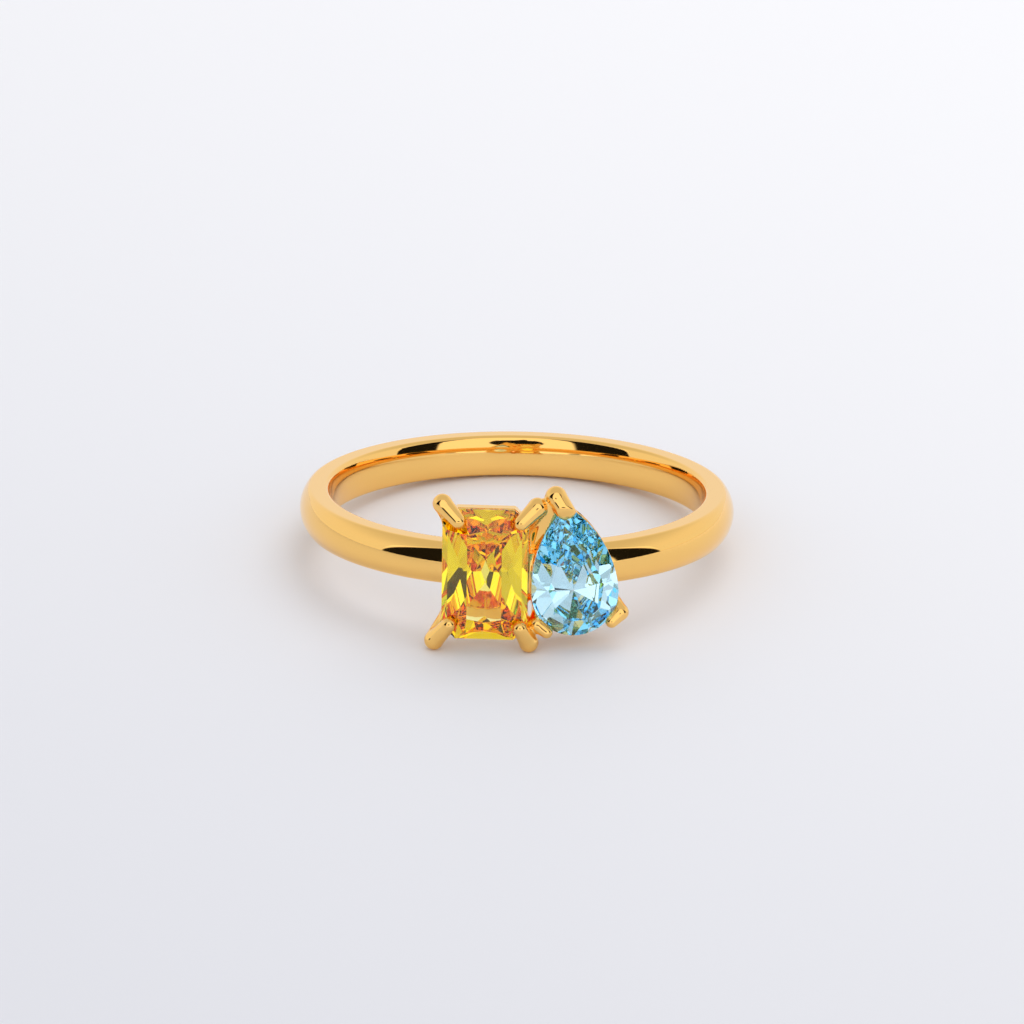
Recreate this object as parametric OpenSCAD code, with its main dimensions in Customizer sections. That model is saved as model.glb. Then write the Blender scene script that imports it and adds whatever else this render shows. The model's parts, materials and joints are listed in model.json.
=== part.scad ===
// Toi et moi ring: a domed shank carries a radiant-cut and a pear-cut stone side by side, each
// in its own basket of claws. The ring lies on its side, as it rests on a table.

/* [Finger hole and shank] */
// Inner diameter of the finger hole
finger_d = 16.9; // [15:0.1:21]
// Thickness of the shank, from the finger outwards
shank_t = 1.42; // [1.3:0.02:1.8]
// Width of the shank along the finger
shank_w = 1.93; // [1.7:0.01:2.3]
// Radius of the domed outside, across the shank
dome_r = 1.36; // [1.2:0.02:2]
// Radius of the comfort-fit inside, across the shank
comfort_r = 3.0; // [2:0.1:4]
// Radius of the two outer edges
outer_edge_r = 0.26; // [0.2:0.01:0.3]
// Radius of the two inner edges
inner_edge_r = 0.2; // [0.15:0.01:0.25]
// Width of the straight land in the middle of the inside
bore_land = 0.3; // [0.2:0.02:0.5]

/* [Head] */
// Height of the stones' girdles over the inside of the shank
girdle_rise = 2.0; // [1.95:0.05:2.4]
// Outward lean of each stone, away from its neighbour
stone_lean = 6; // [0:0.5:10]
// Clear distance between the girdles of the two stones
stone_apart = 0.2; // [0.15:0.01:0.4]
// Clearance between a stone and the metal that holds it
seat_gap = 0.03; // [0.02:0.005:0.06]
// Clearance between a stone's underside and the shank below it
light_gap = 0.2; // [0.08:0.01:0.25]

/* [Radiant stone] */
// Length of the radiant along the finger
radiant_l = 6.0; // [5.4:0.1:7]
// Width of the radiant
radiant_w = 3.8; // [3.4:0.1:4.4]
// Shift of the radiant along the finger
radiant_shift = -0.06; // [-0.3:0.01:0.3]
// Length of the cut at each corner, measured along the sides
radiant_corner = 0.6; // [0.4:0.05:0.8]
// Height of the crown over the girdle
radiant_crown_h = 0.5; // [0.35:0.05:0.7]
// Width of the crown from the girdle to the table
radiant_crown_w = 1.13; // [0.8:0.01:1.2]
// Thickness of the girdle
radiant_girdle_t = 0.12; // [0.06:0.02:0.2]
// Depth of the pavilion under the girdle
radiant_pavilion_h = 1.62; // [1.4:0.02:1.7]

/* [Pear stone] */
// Length of the pear from its tip to its round end
pear_l = 6.0; // [5.4:0.1:7]
// Width of the pear
pear_w = 3.9; // [3.4:0.1:4.4]
// Height of the crown over the girdle
pear_crown_h = 0.55; // [0.4:0.05:0.7]
// Width of the crown from the girdle to the table
pear_crown_w = 0.85; // [0.7:0.01:1]
// Thickness of the girdle
pear_girdle_t = 0.12; // [0.06:0.02:0.2]
// Depth of the pavilion under the girdle
pear_pavilion_h = 1.62; // [1.4:0.02:1.7]
// Lean of the pear's tip towards the radiant
pear_turn = 6; // [0:1:10]
// Shift of the pear along the finger
pear_shift = 0.1; // [-0.3:0.01:0.3]

/* [Claws and galleries] */
// Diameter of the radiant's claws where they bend over the corners
radiant_claw_d = 0.86; // [0.7:0.02:1]
// Diameter of the pear's two side claws where they bend
pear_claw_d = 0.72; // [0.6:0.02:0.9]
// Diameter of the thick claw over the pear's tip, where it bends
tip_claw_d = 0.94; // [0.8:0.02:1.1]
// Diameter of a claw's rounded end, as a share of the diameter at its bend
claw_end_share = 0.78; // [0.6:0.02:0.9]
// The same share for the thick claw over the pear's tip
tip_end_share = 0.9; // [0.8:0.02:0.94]
// Distance of the tip claw's flat end from the middle of its end
tip_flat = 0.16; // [0.1:0.01:0.25]
// Depth of the tip claw's foot under the girdles
tip_foot_drop = 0.9; // [0.8:0.05:1.3]
// Diameter of the claws' legs where they meet the base
leg_d = 0.74; // [0.6:0.02:0.9]
// Height of the rails that the girdles rest on
rail_h = 0.6; // [0.4:0.05:0.8]
// Thickness of the rails
rail_t = 0.42; // [0.3:0.02:0.6]
// How far the rails stand out past the girdles
rail_proud = 0.02; // [-0.05:0.01:0.02]
// Diameter of the solder bar between the two rails
seam_bar_d = 0.4; // [0.3:0.02:0.5]
// Length of the solder bar along the finger
seam_bar_l = 1.8; // [1:0.1:2.4]
// Depth of the solder bar's middle under the girdles
seam_bar_drop = 0.4; // [0.35:0.05:0.5]
// Height and wall of the base rings, where the legs meet the shank
base_d = 0.8; // [0.7:0.02:0.9]
// Depth of the base rings' middle under the girdles
base_drop = 1.36; // [1.3:0.02:1.4]
// Diameter of the base rings, between the middles of their walls
base_w = 2.5; // [2.3:0.05:2.8]

/* [Hidden] */
FINE = 64;
SETTLE_STEPS = 6;

// Claws of the radiant. The bend and the end are shares of its half width and half length, and
// the height of the end over the girdle plane is a share of the crown's height.
RADIANT_CLAWS = [
    // bend across, bend along, end across, end along, end height
    [-1.01, 1.07, -0.62, 0.85, 0.95],
    [1.21, 1.05, 0.84, 0.84, 0.95],
    [-1.17, -1.04, -0.82, -0.75, 0.95],
    [1.05, -1.04, 0.85, -0.78, 0.95]
];

// Side claws of the pear, seen from the middle of its round end. Distances are shares of the
// round end's radius, and the height of the end is a share of the crown's height.
PEAR_CLAWS = [
    // azimuth of the foot, azimuth of the bend, distance, azimuth of the end, distance, end height
    [5, -31, 1.17, -45, 1.08, 0.4],
    [190, 214, 1.13, 227, 1.1, 0.4]
];

// Claw over the pear's tip, in shares of the pear's half width, half length and crown height.
TIP_CLAW = [
    // across, along, height
    [-0.23, 1.17, 0],
    [-0.06, 0.95, 0.75]
];
// Foot of that claw, at the seam between the stones, in the same shares of width and length
TIP_CLAW_FOOT = [-0.8, 0.36];
// Slope of that claw's flat end against the stone's table
TIP_FLAT_SLOPE = 32;

// Facets of the radiant for one quarter, repeated in the other three.
RADIANT_CROWN = [
    // azimuth, slope, set in at the height of the table, as a share of the crown's width
    [0, 20, 1],
    [80, 20, 1],
    [45, 24, 1]
];
RADIANT_CROWN_EDGE = [
    // azimuth, slope up from the girdle
    [0, 36],
    [90, 36],
    [45, 36]
];
RADIANT_PAVILION = [
    // azimuth, depth at the middle as a share of the pavilion's depth
    [0, 1.2],
    [90, 1.45],
    [45, 1.2]
];
// Facets round the culet, which only the stone has and not its seat
RADIANT_CULET = [
    // azimuth, depth at the middle as a share of the pavilion's depth
    [20, 1.05],
    [70, 1.15]
];

// Facets of the pear for the right half, mirrored to the left.
PEAR_MAIN_AZIMUTHS = [-90, -52, -14, 22, 46];
// Small facets along the girdle, between the main ones, which only the stone has
PEAR_BREAKS = [
    // azimuth, how much steeper than the main facets on the crown, depth share on the pavilion
    [-71, 7, 1.18],
    [-33, 7, 1.18],
    [4, 7, 1.18],
    [34, 6, 1.15]
];

finger_r = finger_d / 2;
girdle_r = finger_r + girdle_rise;

// Outline of the pear: a round end and two long arcs that meet at the tip.
pear_round_r = pear_w / 2;
pear_round_y = pear_round_r - pear_l / 2;
pear_tip_y = pear_l / 2;
pear_tip_run = pear_tip_y - pear_round_y;
pear_side_r = (pear_round_r * pear_round_r + pear_tip_run * pear_tip_run) / (2 * pear_round_r);
pear_tip_azimuth = asin(pear_tip_run / pear_side_r);
pear_main_slope = atan(pear_crown_h / pear_crown_w);

// Places of the two stones: each stands clear of the seam in the middle of the head. The pear's
// turn swings its round end away from the seam, and its place makes up for that.
radiant_x = -(stone_apart + radiant_w * cos(stone_lean)) / 2;
pear_x = stone_apart / 2
    + (pear_round_r + pear_round_y * sin(pear_turn)) * cos(stone_lean);

// Share of the bend's thickness with which a claw's end part starts
bend_neck = 0.98;
// Share of the pavilion's depth at which the culet is cut flat
culet_share = 0.98;
// Larger than any stone, for the blocks that cut the facets
BIG = 4 * max(radiant_l, pear_l);

// Distance of a stone's girdle from the ring's axis, towards the front
function seat_y(x) = -sqrt(girdle_r * girdle_r - x * x);
// A point of the radiant's own frame in the ring's frame
function from_radiant(p) = [
    radiant_x + p.x * cos(stone_lean) - p.z * sin(stone_lean),
    seat_y(radiant_x) - p.x * sin(stone_lean) - p.z * cos(stone_lean),
    p.y + radiant_shift
];
function radiant_bend(c) = [c[0] * radiant_w / 2, c[1] * radiant_l / 2, 0];
function radiant_end(c) = [
    c[2] * radiant_w / 2, c[3] * radiant_l / 2, c[4] * radiant_crown_h
];

// Section of the shank: a dome, a comfort arc and two flat sides, tangent to the four edges.
// For each arc: the distance of its middle from the ring's axis, and half the angle it spans.
dome_mid = finger_r + shank_t - dome_r;
dome_half_angle = asin((shank_w / 2 - outer_edge_r) / (dome_r - outer_edge_r));
comfort_mid = finger_r + sqrt(comfort_r * comfort_r - bore_land * bore_land / 4);
comfort_half_angle = asin((shank_w / 2 - inner_edge_r) / (comfort_r - inner_edge_r));
// middles of the edges' arcs
outer_edge = [
    dome_mid + (dome_r - outer_edge_r) * cos(dome_half_angle), shank_w / 2 - outer_edge_r
];
inner_edge = [
    comfort_mid - (comfort_r - inner_edge_r) * cos(comfort_half_angle), shank_w / 2 - inner_edge_r
];

// The ring rests on the back of its shank and on the radiant's two lower claws: it is tilted
// about X, then rolled about Y, until the three touch the surface below.
low_left = from_radiant(radiant_bend(RADIANT_CLAWS[2]));
low_right = from_radiant(radiant_bend(RADIANT_CLAWS[3]));
rest_run = outer_edge.x - (low_left.y + low_right.y) / 2;
function tilted_y(p, tilt) = p.y * cos(tilt) + p.z * sin(tilt);
function tilted_z(p, tilt) = p.z * cos(tilt) - p.y * sin(tilt);
// roll that brings the two claws level
function roll_at(tilt) = atan2(
    tilted_z(low_right, tilt) - tilted_z(low_left, tilt), low_right.x - low_left.x
);
// lowest points of the claws and of the shank, under the middle of the ring
function claws_low(tilt) = low_left.x * sin(roll_at(tilt))
    - tilted_z(low_left, tilt) * cos(roll_at(tilt)) + radiant_claw_d / 2;
function shank_low(tilt) = outer_edge_r + outer_edge.y * cos(tilt) * cos(roll_at(tilt))
    + outer_edge.x * norm([sin(roll_at(tilt)), sin(tilt) * cos(roll_at(tilt))]);
function settled(tilt, steps) = steps == 0 ? tilt
    : settled(tilt + atan((claws_low(tilt) - shank_low(tilt)) / rest_run), steps - 1);
rest_tilt = settled(0, SETTLE_STEPS);
rest_roll = roll_at(rest_tilt);
rest_height = shank_low(rest_tilt);

// Foremost and rearmost reach in the resting pose, whose middle is the origin
rest_back = dome_mid * cos(rest_tilt) + dome_r;
rest_front = min([
    for (c = RADIANT_CLAWS)
        tilted_y(from_radiant(radiant_end(c)), rest_tilt) - claw_end_share * radiant_claw_d / 2
]);

// Azimuths of one facet in all four quarters, and in the right and left half
function quarters(a) = a == 0 ? [0, 180] : a == 90 ? [90, 270] : [a, 180 - a, 180 + a, 360 - a];
function halves(a) = abs(a) == 90 ? [a] : [a, 180 - a];

// Distance of an outline from the stone's middle, measured along an azimuth
function radiant_reach(a) = max(
    abs(cos(a)) * radiant_w / 2 + abs(sin(a)) * (radiant_l / 2 - radiant_corner),
    abs(cos(a)) * (radiant_w / 2 - radiant_corner) + abs(sin(a)) * radiant_l / 2
);
// The same for the pear, from the middle of its round end
function pear_reach(a) = sin(a) <= 0 ? pear_round_r
    : sin(a) > sin(pear_tip_azimuth) ? sin(a) * pear_tip_run
    : pear_side_r - abs(cos(a)) * (pear_side_r - pear_round_r);

// What lies outside a facet. The facet leans in from the line at the given reach and height,
// at the given slope, upwards or downwards, and grow moves it outwards.
module outside_facet(azimuth, reach, height, slope, down, grow) {
    rotate([0, 0, azimuth])
        translate([reach, 0, height])
            rotate([0, down ? 90 - slope : slope - 90, 0])
                translate([grow, -BIG / 2, -BIG / 2])
                    cube(BIG);
}

module radiant_outline(grow = 0) {
    w = radiant_w / 2 + grow;
    l = radiant_l / 2 + grow;
    c = radiant_corner + grow * (2 - sqrt(2));
    polygon([
        [w, c - l], [w, l - c], [w - c, l], [c - w, l],
        [-w, l - c], [-w, c - l], [c - w, -l], [w - c, -l]
    ]);
}

module pear_outline(grow = 0) {
    side = pear_side_r - pear_round_r;
    intersection() {
        translate([-side, pear_round_y])
            circle(r = pear_side_r + grow, $fn = FINE);
        translate([side, pear_round_y])
            circle(r = pear_side_r + grow, $fn = FINE);
        translate([-BIG / 2, pear_round_y])
            square(BIG);
    }
    intersection() {
        translate([0, pear_round_y])
            circle(r = pear_round_r + grow, $fn = FINE);
        translate([-BIG / 2, pear_round_y - BIG])
            square(BIG);
    }
}

// A slab over the whole height of a stone, from the culet to the table
module stone_blank(girdle_t, crown_h, pavilion_h, grow) {
    depth = pavilion_h * culet_share;
    translate([0, 0, -girdle_t / 2 - depth - grow])
        linear_extrude(girdle_t + crown_h + depth + 2 * grow)
            children();
}

module radiant_cut(grow = 0) {
    difference() {
        stone_blank(radiant_girdle_t, radiant_crown_h, radiant_pavilion_h, grow)
            radiant_outline(grow);
        for (f = RADIANT_CROWN, a = quarters(f[0]))
            outside_facet(a, radiant_reach(a) - f[2] * radiant_crown_w,
                radiant_girdle_t / 2 + radiant_crown_h, f[1], false, grow);
        for (f = RADIANT_CROWN_EDGE, a = quarters(f[0]))
            outside_facet(a, radiant_reach(a), radiant_girdle_t / 2, f[1], false, grow);
        radiant_under(RADIANT_PAVILION, grow);
    }
}

// What lies outside some pavilion facets of the radiant
module radiant_under(facets, grow) {
    for (f = facets, a = quarters(f[0]))
        outside_facet(a, radiant_reach(a), -radiant_girdle_t / 2,
            atan(f[1] * radiant_pavilion_h / radiant_reach(a)), true, grow);
}

module pear_cut(grow = 0) {
    difference() {
        stone_blank(pear_girdle_t, pear_crown_h, pear_pavilion_h, grow)
            pear_outline(grow);
        for (m = PEAR_MAIN_AZIMUTHS)
            pear_outside(m, 0, 1, grow);
    }
}

// What lies outside a crown facet and a pavilion facet of the pear, in both halves
module pear_outside(azimuth, steeper, depth_share, grow) {
    translate([0, pear_round_y, 0])
        for (a = halves(azimuth)) {
            outside_facet(a, pear_reach(a), pear_girdle_t / 2, pear_main_slope + steeper, false, grow);
            outside_facet(a, pear_reach(a), -pear_girdle_t / 2,
                atan(depth_share * pear_pavilion_h / pear_reach(a)), true, grow);
        }
}

// A wire with round ends, thicker at one end than at the other
module round_bar(from, to, from_r, to_r) {
    run = to - from;
    length = norm(run);
    taper = (from_r - to_r) / length;
    spread = sqrt(1 - taper * taper);
    translate(from)
        rotate([0, acos(run.z / length), atan2(run.y, run.x)])
            rotate_extrude($fn = FINE)
                intersection() {
                    union() {
                        circle(r = from_r, $fn = FINE);
                        translate([0, length])
                            circle(r = to_r, $fn = FINE);
                        polygon([
                            [0, from_r * taper], [from_r * spread, from_r * taper],
                            [to_r * spread, length + to_r * taper], [0, length + to_r * taper]
                        ]);
                    }
                    translate([0, -from_r])
                        square([from_r + to_r, length + from_r + to_r]);
                }
}

// A claw: a leg from its foot up to the bend, and the part that lies on the crown
module claw(foot, bend, end, bend_d, end_share = claw_end_share) {
    round_bar(foot, bend, leg_d / 2, bend_d / 2);
    round_bar(bend, end, bend_d / 2 * bend_neck, bend_d / 2 * end_share);
}

module rail(girdle_t) {
    translate([0, 0, -girdle_t / 2 - rail_h])
        linear_extrude(rail_h)
            children();
}

module base_ring() {
    translate([0, 0, -base_drop - base_d / 2])
        linear_extrude(base_d)
            difference() {
                circle(d = base_w + base_d, $fn = FINE);
                circle(d = base_w - base_d, $fn = FINE);
            }
}

// Places what is drawn in a stone's own frame: x across, y along the finger, z out of the table
module at_seat(x, lean, shift = 0, turn = 0) {
    translate([x, seat_y(x), shift])
        rotate([0, 0, lean])
            rotate([90, 0, 0])
                rotate([0, 0, turn])
                    children();
}

module at_radiant() {
    at_seat(radiant_x, -stone_lean, radiant_shift)
        children();
}

module at_pear() {
    at_seat(pear_x, stone_lean, pear_shift, pear_turn)
        children();
}

module radiant_stone() {
    color("gold")
        at_radiant()
            difference() {
                radiant_cut();
                radiant_under(RADIANT_CULET, 0);
            }
}

module pear_stone() {
    color("skyblue")
        at_pear()
            difference() {
                pear_cut();
                for (b = PEAR_BREAKS)
                    pear_outside(b[0], b[1], b[2], 0);
            }
}

module shank_profile() {
    dome_end = dome_r * sin(dome_half_angle);
    comfort_end = comfort_r * sin(comfort_half_angle);
    third = shank_t / 3;
    intersection() {
        translate([dome_mid, 0])
            circle(r = dome_r, $fn = FINE);
        translate([finger_r + third, -dome_end])
            square([shank_t, 2 * dome_end]);
    }
    intersection() {
        translate([comfort_mid, 0])
            circle(r = comfort_r, $fn = FINE);
        translate([finger_r, -comfort_end])
            square([2 * third, 2 * comfort_end]);
    }
    translate([inner_edge.x, -shank_w / 2])
        square([outer_edge.x - inner_edge.x, shank_w]);
    for (s = [-1, 1]) {
        translate([outer_edge.x, s * outer_edge.y])
            circle(r = outer_edge_r, $fn = FINE);
        translate([inner_edge.x, s * inner_edge.y])
            circle(r = inner_edge_r, $fn = FINE);
    }
}

// Opening through the shank under a stone: a round hole that its base ring lines, and a groove
// across the shank that keeps clear of the stone's underside
module underside(y, half_w, girdle_t, pavilion_h) {
    translate([0, y, -girdle_rise - base_d])
        cylinder(d = base_w, h = girdle_rise + base_d, $fn = FINE);
    rotate([90, 0, 0])
        translate([0, -girdle_t / 2 - pavilion_h - light_gap, -BIG / 2])
            linear_extrude(BIG)
                polygon([[0, 0], [2 * half_w, 2 * pavilion_h], [-2 * half_w, 2 * pavilion_h]]);
}

module shank() {
    difference() {
        rotate_extrude($fn = FINE)
            shank_profile();
        at_radiant()
            underside(0, radiant_w / 2, radiant_girdle_t, radiant_pavilion_h);
        at_pear()
            underside(pear_round_y, pear_w / 2, pear_girdle_t, pear_pavilion_h);
    }
}

module radiant_basket() {
    foot_x = base_w / 2;
    rail(radiant_girdle_t)
        difference() {
            radiant_outline(rail_proud);
            radiant_outline(rail_proud - rail_t);
        }
    base_ring();
    for (c = RADIANT_CLAWS)
        claw([sign(c[0]) * foot_x * cos(45), sign(c[1]) * foot_x * sin(45), -base_drop],
            radiant_bend(c), radiant_end(c), radiant_claw_d);
}

module pear_basket() {
    foot_x = base_w / 2;
    half = [pear_w / 2, pear_l / 2];
    rail(pear_girdle_t)
        difference() {
            pear_outline(rail_proud);
            pear_outline(rail_proud - rail_t);
        }
    translate([0, pear_round_y, 0]) {
        base_ring();
        for (c = PEAR_CLAWS)
            claw([foot_x * cos(c[0]), foot_x * sin(c[0]), -base_drop],
                [pear_round_r * c[2] * cos(c[1]), pear_round_r * c[2] * sin(c[1]), 0],
                [pear_round_r * c[4] * cos(c[3]), pear_round_r * c[4] * sin(c[3]), c[5] * pear_crown_h],
                pear_claw_d);
    }
    tip_end = [
        TIP_CLAW[1][0] * half.x, TIP_CLAW[1][1] * half.y, TIP_CLAW[1][2] * pear_crown_h
    ];
    difference() {
        claw([TIP_CLAW_FOOT[0] * half.x, TIP_CLAW_FOOT[1] * half.y, -tip_foot_drop],
            [TIP_CLAW[0][0] * half.x, TIP_CLAW[0][1] * half.y, 0],
            tip_end, tip_claw_d, tip_end_share);
        translate(tip_end)
            rotate([TIP_FLAT_SLOPE, 0, 0])
                translate([-BIG / 2, -BIG / 2, tip_flat])
                    cube(BIG);
    }
}

// Solder that joins the two rails in the seam between the stones
module seam_bar() {
    seam = from_radiant([radiant_w / 2, 0, 0]);
    translate([0, seam.y + seam_bar_drop, 0])
        cylinder(d = seam_bar_d, h = seam_bar_l, center = true, $fn = FINE);
}

module ring_mount() {
    color("goldenrod") {
        shank();
        difference() {
            union() {
                at_radiant()
                    radiant_basket();
                at_pear()
                    pear_basket();
                seam_bar();
            }
            at_radiant()
                radiant_cut(seat_gap);
            at_pear()
                pear_cut(seat_gap);
        }
    }
}

module at_rest() {
    translate([0, -(rest_back + rest_front) / 2, rest_height])
        rotate([-rest_tilt, rest_roll, 0])
            children();
}

at_rest() ring_mount();
at_rest() radiant_stone();
at_rest() pear_stone();
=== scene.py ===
# %% [markdown]
# # A toi et moi ring on a pale table
# A toi et moi ring has two stones side by side: "you and me". This one has three pieces, the metal, a
# radiant-cut stone and a pear-cut stone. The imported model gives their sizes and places. This script
# gives them the look of the real things and lights them like jewellery in a studio.

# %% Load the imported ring
import json
import math

import bpy
import numpy as np
from mathutils import Matrix, Vector


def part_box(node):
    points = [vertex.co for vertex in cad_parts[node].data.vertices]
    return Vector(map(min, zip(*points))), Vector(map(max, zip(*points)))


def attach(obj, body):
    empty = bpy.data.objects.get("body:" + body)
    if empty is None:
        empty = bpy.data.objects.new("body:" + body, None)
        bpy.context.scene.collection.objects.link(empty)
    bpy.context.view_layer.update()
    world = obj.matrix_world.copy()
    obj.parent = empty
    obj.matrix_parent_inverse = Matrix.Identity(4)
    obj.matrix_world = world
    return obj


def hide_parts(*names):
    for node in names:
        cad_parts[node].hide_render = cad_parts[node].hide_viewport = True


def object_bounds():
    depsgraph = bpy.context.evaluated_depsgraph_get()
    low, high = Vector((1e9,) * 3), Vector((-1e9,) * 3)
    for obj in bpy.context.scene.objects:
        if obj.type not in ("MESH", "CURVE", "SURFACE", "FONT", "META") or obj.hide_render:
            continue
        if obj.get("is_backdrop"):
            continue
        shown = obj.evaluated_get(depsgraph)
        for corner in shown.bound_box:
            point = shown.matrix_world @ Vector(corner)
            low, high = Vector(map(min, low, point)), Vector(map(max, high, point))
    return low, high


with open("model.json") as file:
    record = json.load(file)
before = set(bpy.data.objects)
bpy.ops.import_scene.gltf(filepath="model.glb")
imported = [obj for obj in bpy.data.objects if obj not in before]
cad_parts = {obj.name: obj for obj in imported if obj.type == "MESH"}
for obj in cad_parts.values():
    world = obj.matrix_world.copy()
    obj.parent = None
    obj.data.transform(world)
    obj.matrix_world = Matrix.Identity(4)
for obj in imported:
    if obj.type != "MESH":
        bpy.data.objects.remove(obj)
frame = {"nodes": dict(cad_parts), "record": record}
bounds_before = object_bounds()
MM = 0.001
record = frame["record"]
for name in frame["nodes"]:
    low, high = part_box(name)
    print(name, [round((b - a) / MM, 2) for a, b in zip(low, high)], "mm")

# %% [markdown]
# ## How the ring lies
# A ring that is laid down leans on its claws and on the back of its shank. The finger hole is a mount
# in the record, so its middle and its axis are known, and with them the ring's own frame: Z is the
# hole's axis and the head is at -Y. The metal is shaped in that frame, where it is symmetrical and
# easy to describe, and then laid down.

# %% The ring's own frame, in mm
hole = next(m for m in record["mounts"] if m["name"] == "finger_hole")
hole_axis = np.array(hole["axis"])
hole_middle = np.array(hole["pos_m"]) / MM
tilt = math.asin(hole_axis[1])
roll = math.atan2(hole_axis[0], hole_axis[2])
pose = np.array(Matrix.Rotation(roll, 3, "Y") @ Matrix.Rotation(-tilt, 3, "X"))


def to_ring(points):
    return (points - hole_middle) @ pose


def from_ring(points):
    return points @ pose.T + hole_middle


print("tilt", round(math.degrees(tilt), 2), "roll", round(math.degrees(roll), 2), "degrees")


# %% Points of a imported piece, in mm
def world_points(node):
    piece = frame["nodes"][node]
    matrix = np.array(piece.matrix_world)
    points = np.array([v.co for v in piece.data.vertices])
    return (points @ matrix[:3, :3].T + matrix[:3, 3]) / MM


print("points of the metal:", len(world_points("ring_mount")))

# %% [markdown]
# ## Where the stones stand
# A setter builds the metal round the stones, so their places come first. Each stone's girdle, its
# widest line, stands a little outside the shank, and the two stones lean away from each other.

# %% Sizes of the stones, in mm
FINGER_R = 8.45
GIRDLE_RISE, LEAN, APART = 2.0, 6.0, 0.2
RADIANT = {"half": (1.9, 3.0), "crown": 0.5, "corner": 0.6, "shift": -0.06}
PEAR = {"half": (1.95, 3.0), "crown": 0.55, "turn": 6.0, "shift": 0.1}


# %% Places of the stones
def seat(x, lean, shift, turn):
    """Middle and axes of a stone's girdle: across, along the finger, out of the table."""
    girdle_r = FINGER_R + GIRDLE_RISE
    axes = (Matrix.Rotation(math.radians(lean), 3, "Z") @ Matrix.Rotation(math.pi / 2, 3, "X")
            @ Matrix.Rotation(math.radians(turn), 3, "Z"))
    return np.array([x, -math.sqrt(girdle_r ** 2 - x ** 2), shift]), np.array(axes)


def into(place, points):
    return (points - place[0]) @ place[1]


def from_seat(place, point):
    return place[1] @ np.array(point) + place[0]


lean_cos = math.cos(math.radians(LEAN))
RADIANT_SEAT = seat(-(APART / 2 + RADIANT["half"][0] * lean_cos), -LEAN, RADIANT["shift"], 0)
PEAR_ROUND_Y = PEAR["half"][0] - PEAR["half"][1]
pear_reach = PEAR["half"][0] + PEAR_ROUND_Y * math.sin(math.radians(PEAR["turn"]))
PEAR_SEAT = seat(APART / 2 + pear_reach * lean_cos, LEAN, PEAR["shift"], PEAR["turn"])
print("middles of the girdles:", RADIANT_SEAT[0].round(2), PEAR_SEAT[0].round(2))

# %% [markdown]
# ## The metal as a field of distances
# Cast and soldered metal has no sharp inner corners: solder and polish round every joint. Bevels on a
# mesh fail where many wires meet. A field that gives each point its distance from the metal can blend
# its parts softly, so the metal is built as such a field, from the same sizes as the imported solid, and
# then covered with one mesh. Two parts are joined by the smaller of their distances. A soft minimum
# rounds the joint like a bead of solder, and a soft maximum breaks the edge where one part cuts
# another.


# %% Joining and cutting
def soft_min(a, b, width):
    near = np.maximum(width - np.abs(a - b), 0) / width
    return np.minimum(a, b) - near * near * width / 4


def soft_max(a, b, width):
    return -soft_min(-a, -b, width)


print("a joint blended over 1 mm is filled by", -soft_min(0.0, 0.0, 1.0), "mm")


# %% A wire with round ends, as the convex hull of two balls
def round_bar(p, start, end, start_r, end_r):
    start, end = np.array(start, float), np.array(end, float)
    axis = end - start
    length = float(np.linalg.norm(axis))
    axis /= length
    lean = (start_r - end_r) / length
    along = (p - start) @ axis
    off = np.sqrt(np.maximum(((p - start) ** 2).sum(1) - along ** 2, 0))
    # the point of the axis whose ball is the nearest
    foot = np.clip(along - off * lean / math.sqrt(1 - lean * lean), 0, length)
    return np.hypot(along - foot, off) - start_r + lean * foot


middle = np.zeros((1, 3))
print("in the middle of a 1 mm wire:", round_bar(middle, (0, 0, -1), (0, 0, 1), 0.5, 0.5)[0], "mm")

# %% [markdown]
# ## The shank
# The shank is drawn or cast as a D-shaped band: domed outside, and gently convex inside, which is
# called a comfort fit. Its four edges are rounded in polishing. The section is a chain of arcs, so its
# distance is worked out arc by arc.

# %% Sizes of the shank, in mm
SHANK_W = 1.93
DOME_R, COMFORT_R = 1.36, 3.0
OUTER_EDGE_R, INNER_EDGE_R = 0.26, 0.2
DOME_MID, COMFORT_MID = 8.51, 11.446
SHANK_T = DOME_MID + DOME_R - FINGER_R
print("thickness of the shank:", round(SHANK_T, 2), "mm")


# %% Distance from the shank's section
def shank_section(rho, side):
    dome_sin = (SHANK_W / 2 - OUTER_EDGE_R) / (DOME_R - OUTER_EDGE_R)
    comfort_sin = (SHANK_W / 2 - INNER_EDGE_R) / (COMFORT_R - INNER_EDGE_R)
    dome_cos, comfort_cos = math.sqrt(1 - dome_sin ** 2), math.sqrt(1 - comfort_sin ** 2)
    outer = DOME_MID + (DOME_R - OUTER_EDGE_R) * dome_cos, SHANK_W / 2 - OUTER_EDGE_R
    inner = COMFORT_MID - (COMFORT_R - INNER_EDGE_R) * comfort_cos, SHANK_W / 2 - INNER_EDGE_R
    flat = side - SHANK_W / 2
    outside = np.where(rho > outer[0], np.hypot(rho - outer[0], side - outer[1]) - OUTER_EDGE_R, flat)
    on_dome = side * dome_cos < (rho - DOME_MID) * dome_sin
    outside = np.where(on_dome, np.hypot(rho - DOME_MID, side) - DOME_R, outside)
    inside = np.where(rho < inner[0], np.hypot(rho - inner[0], side - inner[1]) - INNER_EDGE_R, flat)
    on_comfort = side * comfort_cos < (COMFORT_MID - rho) * comfort_sin
    inside = np.where(on_comfort, np.hypot(COMFORT_MID - rho, side) - COMFORT_R, inside)
    return np.maximum(np.maximum(outside, inside), FINGER_R - rho)


# %% [markdown]
# ## Light under the stones
# A jeweller drills and files the shank open under each stone. The openings let light in, and soap and
# water out. Each is a round hole and a groove that keeps clear of the stone's underside.

# %% The openings, in mm
BASE_W = 2.5
GIRDLE_T, PAVILION_H = 0.12, 1.62
LIGHT_GAP = 0.2
POLISHED_EDGE = 0.06


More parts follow.
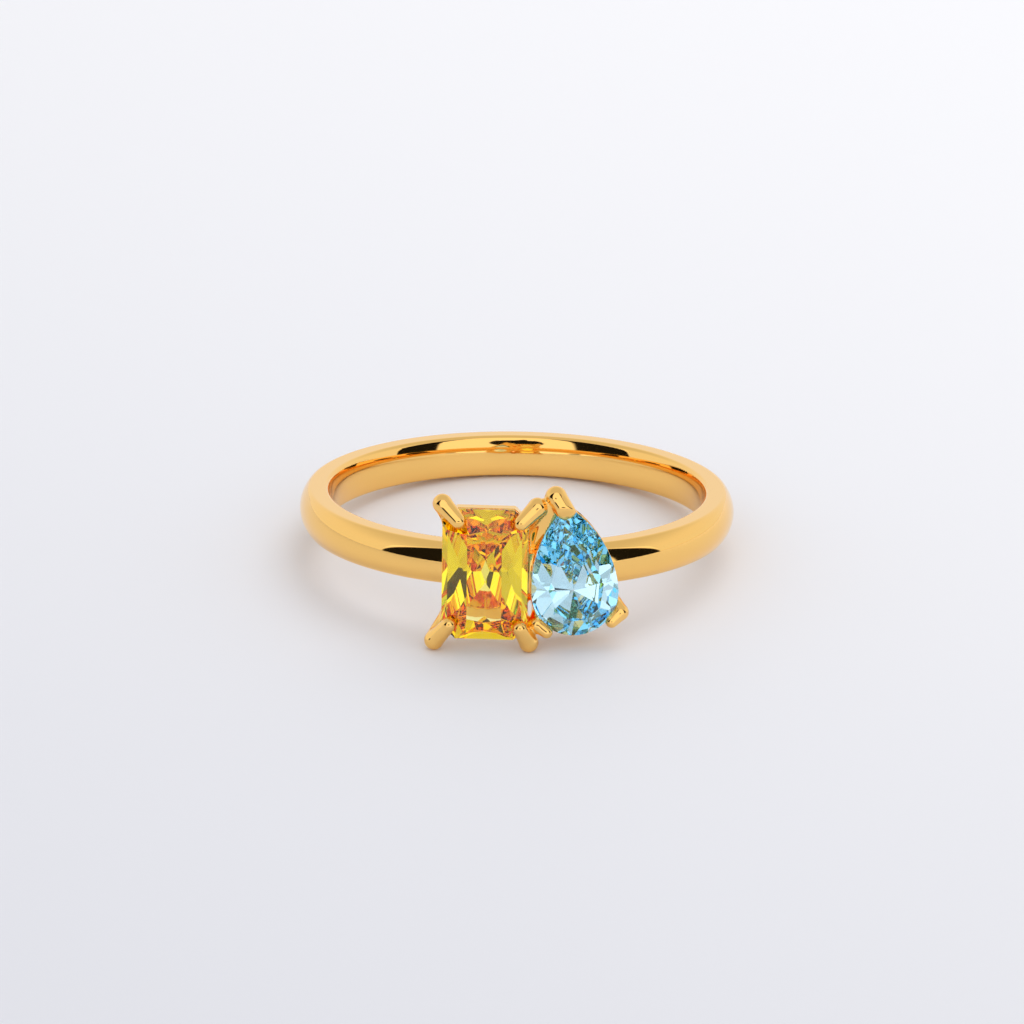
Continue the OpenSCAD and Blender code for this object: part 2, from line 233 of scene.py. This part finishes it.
def underside(p, middle_y, half_w):
    drilled = np.maximum(np.hypot(p[:, 0], p[:, 1] - middle_y) - BASE_W / 2, -p[:, 2] - 2 * GIRDLE_RISE)
    slope = PAVILION_H / half_w
    floor_z = -GIRDLE_T / 2 - PAVILION_H - LIGHT_GAP
    groove = (floor_z + slope * np.abs(p[:, 0]) - p[:, 2]) / math.hypot(1, slope)
    return soft_min(drilled, groove, POLISHED_EDGE)


def shank(p):
    body = shank_section(np.hypot(p[:, 0], p[:, 1]), np.abs(p[:, 2]))
    openings = np.minimum(underside(into(RADIANT_SEAT, p), 0, RADIANT["half"][0]),
                          underside(into(PEAR_SEAT, p), PEAR_ROUND_Y, PEAR["half"][0]))
    return soft_max(body, -openings, POLISHED_EDGE)


middle_of_back = np.array([[0.0, FINGER_R + SHANK_T / 2, 0.0]])
print("depth in the metal at the back:", round(-float(shank(middle_of_back)[0]), 2), "mm")

# %% [markdown]
# ## The baskets
# Each stone stands in a basket of wire: a rail under its girdle, a round base ring on the shank, and
# claws. The rail is bent to the stone's outline, so the outlines come first.


# %% Outlines of the two stones
def radiant_outline(p):
    w, l = RADIANT["half"]
    x, y = np.abs(p[:, 0]), np.abs(p[:, 1])
    return np.maximum(np.maximum(x - w, y - l), (x + y - w - l + RADIANT["corner"]) / math.sqrt(2))


def pear_outline(p):
    r, y = PEAR["half"][0], p[:, 1] - PEAR_ROUND_Y
    run = PEAR["half"][1] - PEAR_ROUND_Y
    side_r = (r * r + run * run) / (2 * r)
    sides = np.hypot(np.abs(p[:, 0]) + side_r - r, y) - side_r
    return np.where(y < 0, np.hypot(p[:, 0], y) - r, sides)


print("from a stone's middle to its outline:",
      [round(-float(outline(middle)[0]), 2) for outline in (radiant_outline, pear_outline)], "mm")

# %% Rails and base rings, in mm
RAIL_H, RAIL_T, RAIL_PROUD = 0.6, 0.42, 0.02
BASE_D, BASE_DROP = 0.8, 1.36


def slab(field, z, low, high):
    return soft_max(field, np.maximum(low - z, z - high), POLISHED_EDGE)


def rail(outline, z):
    wall = soft_max(outline - RAIL_PROUD, RAIL_PROUD - RAIL_T - outline, POLISHED_EDGE)
    return slab(wall, z, -GIRDLE_T / 2 - RAIL_H, -GIRDLE_T / 2)


def base_ring(p, middle_y):
    wall = np.abs(np.hypot(p[:, 0], p[:, 1] - middle_y) - BASE_W / 2) - BASE_D / 2
    return slab(wall, p[:, 2], -BASE_DROP - BASE_D / 2, -BASE_DROP + BASE_D / 2)


print("rail", RAIL_H, "x", RAIL_T, "mm, base ring", round(BASE_W + BASE_D, 2), "mm across")

# %% [markdown]
# ## The claws
# A claw is a wire that is soldered to the basket. The setter bends its end over the edge of the stone
# and files it round. So a claw is two bars: a leg up to the bend, and an end on the crown.

# %% One claw, in mm
LEG_D, CLAW_END = 0.74, 0.78
CLAW_FILLET = 0.16


def claw(p, foot, bend, end, bend_d, end_share=CLAW_END):
    leg = round_bar(p, foot, bend, LEG_D / 2, bend_d / 2)
    return soft_min(leg, round_bar(p, bend, end, bend_d / 2, bend_d / 2 * end_share), POLISHED_EDGE)


print("leg of a claw:", LEG_D, "mm thick")

# %% The radiant's basket, with a claw at each corner
RADIANT_CLAW_D = 0.86
# bend across and along, end across and along as shares of the half sizes, end height
RADIANT_CLAWS = [
    (-1.01, 1.07, -0.62, 0.85, 0.95), (1.21, 1.05, 0.84, 0.84, 0.95),
    (-1.17, -1.04, -0.82, -0.75, 0.95), (1.05, -1.04, 0.85, -0.78, 0.95)]


def radiant_basket(p):
    p = into(RADIANT_SEAT, p)
    w, l = RADIANT["half"]
    field = soft_min(rail(radiant_outline(p), p[:, 2]), base_ring(p, 0), CLAW_FILLET)
    foot = BASE_W / 2 * math.cos(math.pi / 4)
    for bend_x, bend_y, end_x, end_y, end_z in RADIANT_CLAWS:
        one = claw(p, (math.copysign(foot, bend_x), math.copysign(foot, bend_y), -BASE_DROP),
                   (bend_x * w, bend_y * l, 0), (end_x * w, end_y * l, end_z * RADIANT["crown"]),
                   RADIANT_CLAW_D)
        field = soft_min(field, one, CLAW_FILLET)
    return field


print("claws on the radiant:", len(RADIANT_CLAWS))

# %% [markdown]
# ## The thick claw
# A pear's tip chips easily, so a thick claw guards it. Its end is filed to a flat, which shows as a
# small bright face. The flat is a plane that cuts the claw with a soft edge.

# %% The claw over the pear's tip
TIP_CLAW = {"foot": (-0.8, 0.36), "foot_drop": 0.9, "bend": (-0.23, 1.17), "end": (-0.06, 0.95),
            "end_height": 0.75, "claw_d": 0.94, "end_share": 0.9, "flat": 0.16, "flat_slope": 32.0}
FLAT_EDGE = 0.14


def tip_claw(p):
    foot, bend, end = (np.array(TIP_CLAW[k]) * PEAR["half"] for k in ("foot", "bend", "end"))
    end = np.array([*end, TIP_CLAW["end_height"] * PEAR["crown"]])
    tip = claw(p, (*foot, -TIP_CLAW["foot_drop"]), (*bend, 0), end, TIP_CLAW["claw_d"], TIP_CLAW["end_share"])
    slope = math.radians(TIP_CLAW["flat_slope"])
    past_flat = (p - end) @ (0, -math.sin(slope), math.cos(slope)) - TIP_CLAW["flat"]
    return soft_max(tip, past_flat, FLAT_EDGE)


print("claw over the tip:", TIP_CLAW["claw_d"], "mm thick")

# %% The pear's basket, with two claws at the round end
PEAR_CLAW_D = 0.72
# azimuth of the foot, azimuth and distance of the bend and of the end, end height
PEAR_CLAWS = [(5, -31, 1.17, -45, 1.08, 0.4), (190, 214, 1.13, 227, 1.1, 0.4)]


def around(azimuth, distance, height):
    a = math.radians(azimuth)
    return distance * math.cos(a), PEAR_ROUND_Y + distance * math.sin(a), height


def pear_basket(p):
    p = into(PEAR_SEAT, p)
    w = PEAR["half"][0]
    field = soft_min(rail(pear_outline(p), p[:, 2]), base_ring(p, PEAR_ROUND_Y), CLAW_FILLET)
    for foot_azimuth, azimuth, distance, end_azimuth, end_distance, end_z in PEAR_CLAWS:
        one = claw(p, around(foot_azimuth, BASE_W / 2, -BASE_DROP), around(azimuth, distance * w, 0),
                   around(end_azimuth, end_distance * w, end_z * PEAR["crown"]), PEAR_CLAW_D)
        field = soft_min(field, one, CLAW_FILLET)
    return soft_min(field, tip_claw(p), CLAW_FILLET)


print("claws on the pear:", len(PEAR_CLAWS) + 1)

# %% [markdown]
# ## Solder in the seam
# The two rails almost touch, and a run of solder ties them together. It sets as a short round bar
# along the seam, so a cylinder with soft ends stands for it.

# %% The solder bar, in mm
SEAM_BAR_D, SEAM_BAR_L, SEAM_BAR_DROP = 0.4, 1.8, 0.4


def seam_bar(p):
    y = from_seat(RADIANT_SEAT, (RADIANT["half"][0], 0, 0))[1] + SEAM_BAR_DROP
    return slab(np.hypot(p[:, 0], p[:, 1] - y) - SEAM_BAR_D / 2, p[:, 2], -SEAM_BAR_L / 2, SEAM_BAR_L / 2)


print("solder bar:", SEAM_BAR_D, "x", SEAM_BAR_L, "mm")


# %% [markdown]
# ## Room for the stones
# The setter cuts a seat into the metal that fits the stone. A cut stone is convex: a point lies
# outside it by the largest of its distances from the planes of the facets. The planes are read from
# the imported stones, and the metal keeps its clearance from them.

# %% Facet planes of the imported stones, in the ring's frame
SLIVER = 1e-6
SAME_PLANE_DIGITS = 3


def facet_planes(node):
    points = to_ring(world_points(node))
    middle = points.mean(0)
    planes = {}
    for face in frame["nodes"][node].data.polygons:
        corners = points[list(face.vertices)]
        normal = np.cross(corners[1] - corners[0], corners[2] - corners[0])
        size = np.linalg.norm(normal)
        if size < SLIVER:
            continue
        normal /= size
        offset = normal @ corners[0]
        if normal @ middle > offset:
            normal, offset = -normal, -offset
        planes[tuple(np.round(normal, SAME_PLANE_DIGITS))] = (*normal, offset)
    return np.array(list(planes.values()))


STONE_PLANES = [facet_planes(node) for node in ("radiant_stone", "pear_stone")]
print("facet planes:", [len(planes) for planes in STONE_PLANES])

# %% Distance from the nearest stone
FAR = 9.0


def stones(p):
    field = np.full(len(p), FAR)
    for planes in STONE_PLANES:
        outside = np.full(len(p), -FAR)
        for x, y, z, offset in planes:
            np.maximum(outside, p[:, 0] * x + p[:, 1] * y + p[:, 2] * z - offset, out=outside)
        np.minimum(field, outside, out=field)
    return field


print("from the hole's middle to the nearest stone:", round(float(stones(middle)[0]), 2), "mm")

# %% All of the metal, in mm
SEAT_GAP = 0.03
SHANK_FILLET = 0.3
HEAD_Y = -5.5  # the whole head lies in front of this


def metal(p):
    """Distance from the metal, for points in the ring's frame."""
    field = shank(p)
    head = p[:, 1] < HEAD_Y
    q = p[head]
    basket = soft_min(soft_min(radiant_basket(q), pear_basket(q), CLAW_FILLET), seam_bar(q), CLAW_FILLET)
    seated = soft_max(soft_min(field[head], basket, SHANK_FILLET), SEAT_GAP - stones(q), POLISHED_EDGE / 2)
    field[head] = seated
    return field


print("room round the stones:", SEAT_GAP, "mm")

# %% [markdown]
# ## From the field to a mesh
# Space is divided into small cubes. The field is worked out only in the blocks of cubes that the
# surface passes through. Each cube with corners inside and outside the metal gets one vertex, the
# vertices of neighbouring cubes form the faces, and each vertex is moved onto the surface. The
# normals come from the field too, so a mirror finish shows no facets.

# %% The field on a grid
STEP = 0.08
BLOCK = 8
MARGIN = 4 * STEP
BATCHES = 12
solid = to_ring(world_points("ring_mount"))
low = solid.min(0) - MARGIN
blocks = np.ceil((solid.max(0) + MARGIN - low) / (BLOCK * STEP)).astype(int)
cells = blocks * BLOCK
values = np.full(cells + 1, 1.0, np.float32)
corner = np.stack(np.meshgrid(*[np.arange(n) for n in blocks], indexing="ij"), -1).reshape(-1, 3) * BLOCK
reach = BLOCK * STEP * math.sqrt(3) / 2 + 2 * STEP
near = np.abs(metal(low + (corner + BLOCK / 2) * STEP)) < reach
local = np.stack(np.meshgrid(*[np.arange(BLOCK + 1)] * 3, indexing="ij"), -1).reshape(-1, 3)
for batch in np.array_split(corner[near], BATCHES):
    index = (batch[:, None] + local[None]).reshape(-1, 3)
    values[tuple(index.T)] = metal(low + index * STEP)
print("blocks:", int(near.sum()), "of", len(near))


# %% A vertex for each cube that the surface passes through
def net_vertices(values, inside):
    """Places of the vertices, and the number of the vertex in each cube."""
    corners = [inside[x:x + cells[0], y:y + cells[1], z:z + cells[2]]
               for x in (0, 1) for y in (0, 1) for z in (0, 1)]
    count = sum(c.astype(np.int8) for c in corners)
    mixed = np.argwhere((count > 0) & (count < 8))
    number = np.full(cells, -1, np.int32)
    number[tuple(mixed.T)] = np.arange(len(mixed))
    total, hits = np.zeros((len(mixed), 3)), np.zeros(len(mixed))
    for axis in range(3):
        for a in (0, 1):
            for b in (0, 1):
                start = np.insert([a, b], axis, 0)
                end = np.insert([a, b], axis, 1)
                v0 = values[tuple((mixed + start).T)]
                v1 = values[tuple((mixed + end).T)]
                cut = (v0 < 0) != (v1 < 0)
                share = np.where(cut, v0 / np.where(cut, v0 - v1, 1), 0)
                total += np.where(cut[:, None], start + (end - start) * share[:, None], 0)
                hits += cut
    return low + (mixed + total / hits[:, None]) * STEP, number


# %% A face for each grid edge that the surface crosses
def net_faces(inside, number):
    quads = []
    for axis in range(3):
        one, two, step = (np.eye(3, dtype=int)[(axis + k) % 3] for k in (1, 2, 0))
        here = inside[:cells[0], :cells[1], :cells[2]]
        there = inside[tuple(slice(s, s + n) for s, n in zip(step, cells))]
        edge = np.argwhere(here != there)
        edge = edge[(edge > 0).all(1)]
        quad = np.stack([number[tuple((edge - d).T)] for d in (0 * one, one, one + two, two)], 1)
        leaving = here[tuple(edge.T)]
        quad[~leaving] = quad[~leaving][:, ::-1]
        quads.append(quad)
    return np.concatenate(quads)


inside = values < 0
vertices, number = net_vertices(values, inside)
quads = net_faces(inside, number)
print("mesh:", len(vertices), "vertices,", 2 * len(quads), "triangles")

# %% The vertices are moved onto the surface
ROUNDS = 4
FLATTEST = 0.2  # lets no vertex jump where the field has a crease


def slope_of(points, reach=0.004):
    steps = [metal(points + d) - metal(points - d) for d in np.eye(3) * reach]
    return np.stack(steps, 1) / (2 * reach)


for _ in range(ROUNDS):
    slope = slope_of(vertices)
    move = metal(vertices)[:, None] * slope / np.maximum((slope ** 2).sum(1), FLATTEST)[:, None]
    vertices -= np.clip(move, -STEP / 2, STEP / 2)
normals = slope_of(vertices)
normals /= np.linalg.norm(normals, axis=1)[:, None]
print("off the surface by at most", round(float(np.abs(metal(vertices)).max()), 4), "mm")

# %% The metal as one piece
mesh = bpy.data.meshes.new("ring_metal")
mesh.from_pydata(from_ring(vertices) * MM, [], quads.tolist())
mesh.polygons.foreach_set("use_smooth", [True] * len(quads))
mesh.normals_split_custom_set_from_vertices((normals @ pose.T).tolist())
metal_piece = bpy.data.objects.new("ring_metal", mesh)
bpy.context.scene.collection.objects.link(metal_piece)
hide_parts("ring_mount")
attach(metal_piece, "root")
print("size of the metal:", [round(d / MM, 2) for d in metal_piece.dimensions], "mm")

# %% [markdown]
# ## Materials
# A material is a small graph of nodes. Colours are written as the sRGB hex that a colour chart would
# give, and turned to linear light by one function.


# %% Helpers for materials
def linear(hex_colour):
    channels = [int(hex_colour[i:i + 2], 16) / 255 for i in (1, 3, 5)]
    return [c / 12.92 if c <= 0.04045 else ((c + 0.055) / 1.055) ** 2.4 for c in channels] + [1.0]


def add_node(tree, kind, settings=None, links=None):
    """Settings name a socket, by its name or number, or else a property of the node."""
    node = tree.nodes.new(kind)
    for key, value in (settings or {}).items():
        if isinstance(key, int) or key in node.inputs:
            node.inputs[key].default_value = value
        else:
            setattr(node, key, value)
    for key, source in (links or {}).items():
        tree.links.new(source, node.inputs[key])
    return node


def new_material(name):
    material = bpy.data.materials.new(name)
    material.use_nodes = True
    material.node_tree.nodes.clear()
    return material, material.node_tree


print("a mid grey in linear light:", round(linear("#808080")[0], 3))

# %% [markdown]
# ## Gold plate
# The ring is taken as cast silver, polished on a felt wheel with rouge and plated with yellow gold.
# That leaves a mirror with only a trace of blur, so its look comes from what it mirrors. A metal has
# no colour but that of its mirror, which is the base colour here, and it keeps the default IOR.

# %% Polished gold plate
gold, tree = new_material("gold plate, polished on a felt wheel")
shader = add_node(tree, "ShaderNodeBsdfPrincipled", {
    "Base Color": linear("#FFCD77"), "Metallic": 1.0, "Roughness": 0.05})
add_node(tree, "ShaderNodeOutputMaterial", links={"Surface": shader.outputs[0]})
metal_piece.data.materials.append(gold)
print(gold.name, "on", metal_piece.name)

# %% [markdown]
# ## Cut crystal
# The stones are taken as cubic zirconia, cut on a lap and polished. It bends light strongly, so its
# back facets act as mirrors. Its colour sits in the depth: short ways through the stone stay pale and
# long ways grow rich, so the colour is absorption in the volume and the surface is clear. The tint
# holds the mirror gloss down, as a photographer does with a dark card, so the tables stay clear.

# %% Two crystals
ZIRCONIA_IOR = 2.16


def crystal(name, depth_colour, density):
    """The density is per metre, so a stone a few millimetres deep needs hundreds."""
    material, tree = new_material(name)
    shader = add_node(tree, "ShaderNodeBsdfPrincipled", {
        "Base Color": linear("#FFFFFF"), "Roughness": 0.0, "IOR": ZIRCONIA_IOR,
        "Transmission Weight": 1.0, "Specular Tint": linear("#AAAAAA")})
    inside = add_node(tree, "ShaderNodeVolumeAbsorption", {
        "Color": linear(depth_colour), "Density": density})
    add_node(tree, "ShaderNodeOutputMaterial", links={
        "Surface": shader.outputs[0], "Volume": inside.outputs[0]})
    return material


yellow_crystal = crystal("golden cubic zirconia, cut and polished", "#FFF83A", 850.0)
blue_crystal = crystal("aqua cubic zirconia, cut and polished", "#7CE7FE", 145.0)
for node, material in (("radiant_stone", yellow_crystal), ("pear_stone", blue_crystal)):
    piece = frame["nodes"][node]
    piece.data.materials.clear()
    piece.data.materials.append(material)
    print(material.name, "on", node)

# %% [markdown]
# ## The set
# Jewellery is photographed in a white tent. Its walls and roof light the ring from all sides, and its
# front is open for the camera. The floor and the opening are single planes, which are marked as stage
# because they are no part of the ring.


# %% Planes of the set
def stage_plane(name, corners, material):
    mesh = bpy.data.meshes.new(name)
    mesh.from_pydata((np.array(corners) * MM).tolist(), [], [(0, 1, 2, 3)])
    plane = bpy.data.objects.new(name, mesh)
    bpy.context.scene.collection.objects.link(plane)
    mesh.materials.append(material)
    plane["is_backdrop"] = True
    print("stage:", name, [round(d, 2) for d in plane.dimensions], "m")
    return plane


# %% Arithmetic with nodes
def compute(tree, operation, *values):
    node = add_node(tree, "ShaderNodeMath", {"operation": operation})
    for socket, value in zip(node.inputs, values):
        if isinstance(value, (int, float)):
            socket.default_value = value
        else:
            tree.links.new(value, socket)
    return node.outputs[0]


def ramp(tree, value, start, end):
    """0 before start, 1 after end, and smooth between them."""
    return add_node(tree, "ShaderNodeMapRange", {
        "interpolation_type": "SMOOTHSTEP", "From Min": start, "From Max": end}, {"Value": value}).outputs[0]


def band(tree, value, start, end, soft):
    """1 between start and end, 0 elsewhere."""
    rise = ramp(tree, value, start - soft, start + soft)
    fall = ramp(tree, value, end - soft, end + soft)
    return compute(tree, "MULTIPLY", rise, compute(tree, "SUBTRACT", 1.0, fall))


# %% [markdown]
# ## The floor
# Under the ring lies a large sheet of matt paper with painted shade: darker at the near left, paler at
# the far right, as the light falls off. Matt paper has a broad, weak gloss. The painted shade is a ramp.

# %% The paper, in mm
FLOOR = 1500
# rate of the painted light falloff, across and into the picture, per mm
PAINTED_FALLOFF_RATE = {"across": 1 / 120, "deep": 1 / 120}
DARKEST, PALEST = -1.2, 1.2
FROM_COLOUR, TO_COLOUR, MIXED = 6, 7, 2  # sockets of the mix node that hold colours

paper, tree = new_material("matt paper with painted light falloff")
spot = add_node(tree, "ShaderNodeTexCoord").outputs["Object"]
x, y, z = add_node(tree, "ShaderNodeSeparateXYZ", links={0: spot}).outputs
share = compute(tree, "ADD", compute(tree, "MULTIPLY", x, PAINTED_FALLOFF_RATE["across"] / MM),
                compute(tree, "MULTIPLY", y, PAINTED_FALLOFF_RATE["deep"] / MM))
# painted shade: the paper's colour runs from darker at the near left to paler at the far right, as light
# falls off
painted_falloff_colour = add_node(tree, "ShaderNodeMix", {
    "data_type": "RGBA", FROM_COLOUR: linear("#E0E1E8"), TO_COLOUR: linear("#F9F9FC")},
    {0: ramp(tree, share, DARKEST, PALEST)})
shader = add_node(tree, "ShaderNodeBsdfPrincipled", {
    "Roughness": 0.6, "Specular IOR Level": 0.2}, {"Base Color": painted_falloff_colour.outputs[MIXED]})
add_node(tree, "ShaderNodeOutputMaterial", links={"Surface": shader.outputs[0]})
stage_plane("floor", [(-FLOOR, -FLOOR, 0), (FLOOR, -FLOOR, 0), (FLOOR, FLOOR, 0), (-FLOOR, FLOOR, 0)], paper)

# %% [markdown]
# ## Walls and roof of the tent
# The cloth of the tent is the world, which needs no mesh. It is brightest ahead, where the stones
# look, and dimmer in the roof, which the flat side of the shank mirrors. A dark lens and two black
# flags stand in front of it. Without something dark to flash against, a cut stone looks like milk
# glass.

# %% Brightness of the cloth, and what stands in front of it
WALL, ROOF, AHEAD = 0.99, 0.76, 0.5
ROOF_STARTS, ROOF_FULL = 0.3, 0.8
AHEAD_STARTS, AHEAD_FULL = 0.35, 0.75
# places across and up as shares of the distance ahead
LENS = {"inner": -1.0, "outer": 0.2, "low": 0.25, "high": 0.6, "soft": 0.08}
FLAGS = {"inner": 0.7, "outer": 0.9, "low": 0.0, "high": 0.8, "soft": 0.04}
EDGE_UP = 0.05
SHADE = 0.05
LEAST_AHEAD = 0.001  # keeps the shares finite behind the ring


def patch(tree, across, up, place):
    return compute(tree, "MULTIPLY", band(tree, across, place["inner"], place["outer"], place["soft"]),
                   band(tree, up, place["low"], place["high"], EDGE_UP))


# %% The world
tent = bpy.data.worlds.new("light tent")
bpy.context.scene.world = tent
tent.use_nodes = True
tree = tent.node_tree
tree.nodes.clear()
direction = add_node(tree, "ShaderNodeTexCoord").outputs["Generated"]
x, y, z = add_node(tree, "ShaderNodeSeparateXYZ", links={0: direction}).outputs
ahead = compute(tree, "MAXIMUM", compute(tree, "MULTIPLY", y, -1.0), LEAST_AHEAD)
across = compute(tree, "DIVIDE", compute(tree, "ABSOLUTE", x), ahead)
up = compute(tree, "DIVIDE", z, ahead)
dark = compute(tree, "MAXIMUM", patch(tree, across, up, LENS), patch(tree, across, up, FLAGS))
roof = compute(tree, "MULTIPLY", ramp(tree, z, ROOF_STARTS, ROOF_FULL), ROOF - WALL)
front_light = compute(tree, "MULTIPLY", ramp(tree, ahead, AHEAD_STARTS, AHEAD_FULL), AHEAD)
bright = compute(tree, "ADD", compute(tree, "ADD", WALL, roof), front_light)
bright = compute(tree, "MULTIPLY", bright, compute(
    tree, "SUBTRACT", 1.0, compute(tree, "MULTIPLY", dark, 1.0 - SHADE)))
walls = add_node(tree, "ShaderNodeBackground", {"Color": linear("#F7F7F8")}, {"Strength": bright})
add_node(tree, "ShaderNodeOutputWorld", links={"Surface": walls.outputs[0]})
print("world:", tent.name, "with", len(tree.nodes), "nodes")

# %% [markdown]
# ## The open front
# The polished metal mirrors the dark opening of the tent as crisp black patches, which is what makes
# it look like metal. The opening is an upright sheet in front of the ring: black, with a white board
# in its middle and a dark lens in the board. Only mirrors see the sheet. It takes no light from the
# floor, the camera looks through it, and the stones look past it.

# %% Shapes on the sheet, in mm from its foot under the middle of the ring
FRONT = {"across": 0.0, "up": 0.0, "half_width": 650.0, "half_height": 305.0}
BOARD = {"across": 22.0, "up": 0.0, "half_width": 150.0, "half_height": 400.0}
BOARD_LENS = {"across": -7.0, "up": 52.0, "half_width": 48.0, "half_height": 18.0}
OVAL_EDGE = 0.1


def off_oval(tree, x, z, oval):
    """0 inside the oval, 1 outside it."""
    sides = [compute(tree, "DIVIDE", compute(tree, "SUBTRACT", value, oval[middle]), oval[half])
             for value, middle, half in ((x, "across", "half_width"), (z, "up", "half_height"))]
    squares = [compute(tree, "MULTIPLY", side, side) for side in sides]
    return ramp(tree, compute(tree, "ADD", *squares), 1 - OVAL_EDGE, 1 + OVAL_EDGE)


# %% The sheet
NIGHT, DAY = 0.01, 1.18
DISTANCE, CLEAR = 150.0, 7.0
opening, tree = new_material("dark opening of the tent")
spot = add_node(tree, "ShaderNodeTexCoord").outputs["Object"]
x, y, z = [compute(tree, "DIVIDE", value, MM) for value in add_node(
    tree, "ShaderNodeSeparateXYZ", links={0: spot}).outputs]
board = compute(tree, "MULTIPLY", compute(tree, "SUBTRACT", 1.0, off_oval(tree, x, z, BOARD)),
                off_oval(tree, x, z, BOARD_LENS))
lit = compute(tree, "MAXIMUM", off_oval(tree, x, z, FRONT), board)
glow = add_node(tree, "ShaderNodeEmission", {"Color": linear("#FFFBF6")}, {
    "Strength": compute(tree, "ADD", NIGHT, compute(tree, "MULTIPLY", lit, DAY - NIGHT))})
add_node(tree, "ShaderNodeOutputMaterial", links={"Surface": glow.outputs[0]})
side, top = FRONT["half_width"], FRONT["half_height"]
corners = [(-side, CLEAR), (side, CLEAR), (side, top), (-side, top)]
front = stage_plane("tent opening", [(across, -DISTANCE, up) for across, up in corners], opening)
for kind in ("camera", "diffuse", "transmission", "shadow"):
    setattr(front, "visible_" + kind, False)

# %% [markdown]
# ## A soft box
# The tent alone gives hardly any shadow, and the ring would seem to float. A large soft lamp from
# behind on the right lays a faint shadow in front of the head. No mirror sees it, so the patches on
# the metal stay as they are.

# %% The lamp, in metres and watts
lamp_data = bpy.data.lights.new("soft box", "AREA")
lamp_data.shape = "DISK"
lamp_data.size = 0.25
lamp_data.energy = 0.2
lamp = bpy.data.objects.new("soft box", lamp_data)
bpy.context.scene.collection.objects.link(lamp)
lamp.location = Vector((0.09, 0.09, 0.26))
lamp.rotation_euler = (-lamp.location).to_track_quat("-Z", "Y").to_euler()
lamp.visible_glossy = lamp.visible_transmission = lamp.visible_camera = False
print("lamp at", round(lamp.location.length, 2), "m from the ring")

# %% [markdown]
# ## Light paths
# Light wanders from facet to facet before it leaves a cut stone. With too few bounces the wandering
# ends in black, so the stones get many. The Standard view keeps the whites as bright as the paper.

# %% Bounces and view
BOUNCES = 24
cycles = bpy.context.scene.cycles
cycles.max_bounces = cycles.glossy_bounces = cycles.transmission_bounces = BOUNCES
bpy.context.scene.view_settings.view_transform = "Standard"
print("bounces:", BOUNCES)

# %% [markdown]
# ## Camera
# The photograph was taken from just left of the head and from above, with a long lens. Its angles,
# distance and lens were fitted to the rims of the shank, the finger hole and the outlines of the
# stones.

# %% Angles, distance and lens
ELEVATION, AZIMUTH, LEVEL = math.radians(23.878), math.radians(-3.218), math.radians(0.483)
CAMERA_DISTANCE = 410
LENS_LENGTH = 316.76
SHIFT_X, SHIFT_Y = -0.00469, -0.004
NEAREST = 0.05

# %% Place the camera
camera_data = bpy.data.cameras.new("camera")
camera = bpy.data.objects.new("camera", camera_data)
bpy.context.scene.collection.objects.link(camera)
to_camera = np.array([math.sin(AZIMUTH) * math.cos(ELEVATION), -math.cos(AZIMUTH) * math.cos(ELEVATION),
                      math.sin(ELEVATION)])
turn = (Matrix.Rotation(AZIMUTH, 3, "Z") @ Matrix.Rotation(math.pi / 2 - ELEVATION, 3, "X")
        @ Matrix.Rotation(LEVEL, 3, "Z"))
camera.matrix_world = Matrix.Translation(
    Vector((hole_middle + to_camera * CAMERA_DISTANCE) * MM)) @ turn.to_4x4()
camera_data.lens = LENS_LENGTH
camera_data.shift_x, camera_data.shift_y = SHIFT_X, SHIFT_Y
camera_data.clip_start = NEAREST
bpy.context.scene.camera = camera
print("camera at", [round(c, 3) for c in camera.matrix_world.translation], "m")

# %% [markdown]
# ## The size of the dressed ring
# The dressed ring must keep the imported ring's size, so the moves of the corners of its box are printed.

# %% Compare the boxes and finish
bounds_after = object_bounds()
moved = [round((b - a) / MM, 3) for old, new in zip(bounds_before, bounds_after) for a, b in zip(old, new)]
print("corners of the box moved by", moved, "mm")
